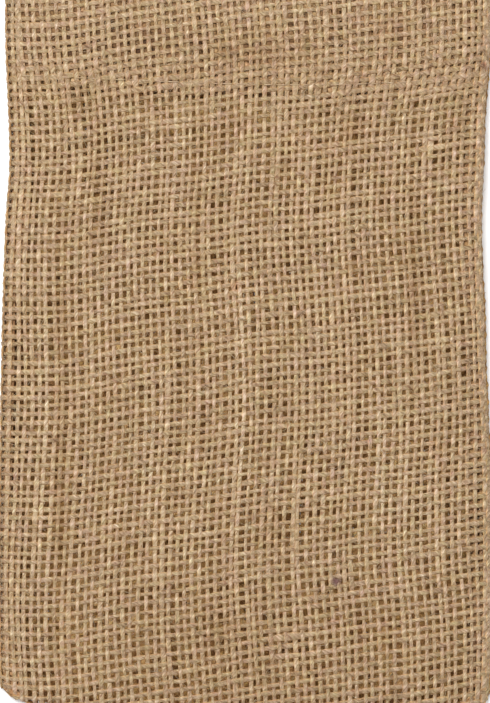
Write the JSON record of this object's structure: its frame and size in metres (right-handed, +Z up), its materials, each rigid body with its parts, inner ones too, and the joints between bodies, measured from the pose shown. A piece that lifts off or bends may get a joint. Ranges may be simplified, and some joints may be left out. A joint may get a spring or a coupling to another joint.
{
  "type": "jute sack",
  "caption": "Small open-mouthed sack of loose plain-woven jute, lying empty and slightly puffed on its back, with a turned hem at the mouth.",
  "frame": {"origin": "centre of the bounding box, in the plane that the sack's back rests on", "axes": "+Y from the bottom fold towards the mouth, +X across the sack to the right as its front is seen, +Z up out of the front"},
  "size_m": [0.1537, 0.2301, 0.0151],
  "materials": {
    "jute_hessian": "matte woven jute"
  },
  "bodies": {
    "root": {"sack_cloth": "jute_hessian"}
  },
  "joints": []
}
